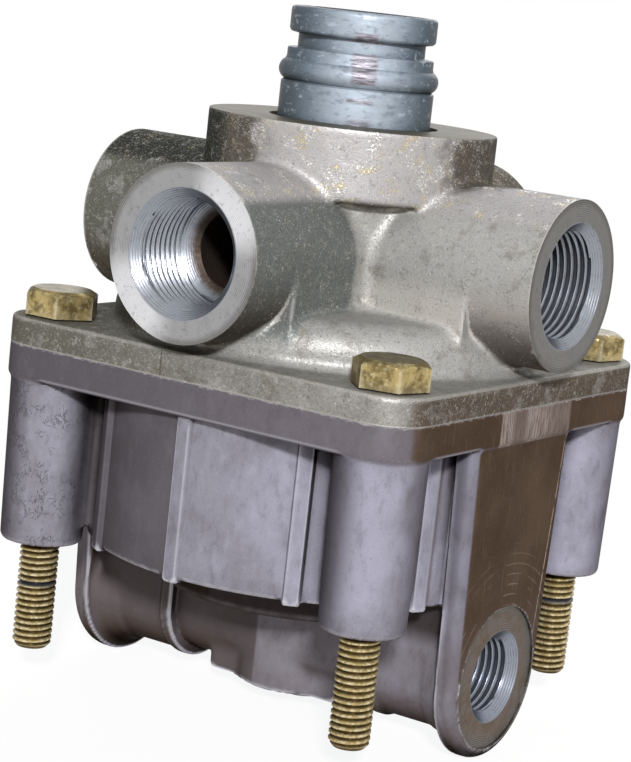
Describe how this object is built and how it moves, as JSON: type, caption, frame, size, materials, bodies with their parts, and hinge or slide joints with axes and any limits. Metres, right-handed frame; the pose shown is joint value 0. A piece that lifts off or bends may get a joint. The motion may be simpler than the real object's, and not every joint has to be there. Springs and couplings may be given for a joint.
{
  "type": "pneumatic relay valve",
  "caption": "Compressed-air relay valve: bolted aluminium castings with threaded ports around the body, an exhaust neck on top and control ports on lugs below.",
  "frame": {"origin": "on the exhaust neck's axis, in the parting plane of the two castings, which is also the middle of the bounding box", "axes": "+Z along the neck, out of the exhaust; supply ports along X, delivery ports along Y, control ports along X below"},
  "size_m": [0.1052, 0.1052, 0.1408],
  "materials": {
    "upper_casting": "sand-cast grey with a faint green-yellow tone, bright where machined",
    "lower_casting": "smooth die-cast violet grey",
    "piston_metal": "turned, plain",
    "neck_metal": "dark blue-grey plating",
    "yellow_zinc": "yellow-passivated zinc plate, olive gold with dark blue marks",
    "spring_steel": "bright spring steel",
    "brass": "plain",
    "rubber": "matt black",
    "acetal": "white moulded"
  },
  "bodies": {
    "housing": {"upper_housing": "upper_casting", "control_housing": "lower_casting", "exhaust_neck": "neck_metal", "neck_liner": "brass", "neck_clip": "spring_steel", "neck_seal_ring": "rubber", "guide_seal_ring": "rubber", "housing_seal_ring": "rubber", "spring_seat": "spring_steel", "valve_spring": "spring_steel", "bolt_front": "yellow_zinc", "bolt_left": "yellow_zinc", "bolt_right": "yellow_zinc", "bolt_rear": "yellow_zinc"},
    "valve": {"valve_tube": "acetal", "valve_disc": "rubber"},
    "relay_piston": {"relay_piston": "piston_metal", "relay_piston_ring": "rubber"},
    "control_piston": {"control_piston": "piston_metal", "control_piston_ring": "rubber"}
  },
  "joints": [
    {"name": "relay_piston_slide", "type": "slide", "parent": "housing", "child": "relay_piston", "axis": [0, 0, 1], "range_m": [0, 0.004]},
    {"name": "valve_slide", "type": "slide", "parent": "housing", "child": "valve", "axis": [0, 0, 1], "range_m": [0, 0.002], "stiffness_N_per_m": 1500, "springref_m": -0.003, "deforming": ["valve_spring"]},
    {"name": "control_piston_slide", "type": "slide", "parent": "housing", "child": "control_piston", "axis": [0, 0, 1], "range_m": [0, 0.004]}
  ],
  "couplings": [
    {"joint": "valve_slide", "follows": "relay_piston_slide", "ratio": 0.5},
    {"joint": "control_piston_slide", "follows": "relay_piston_slide", "ratio": 1}
  ]
}
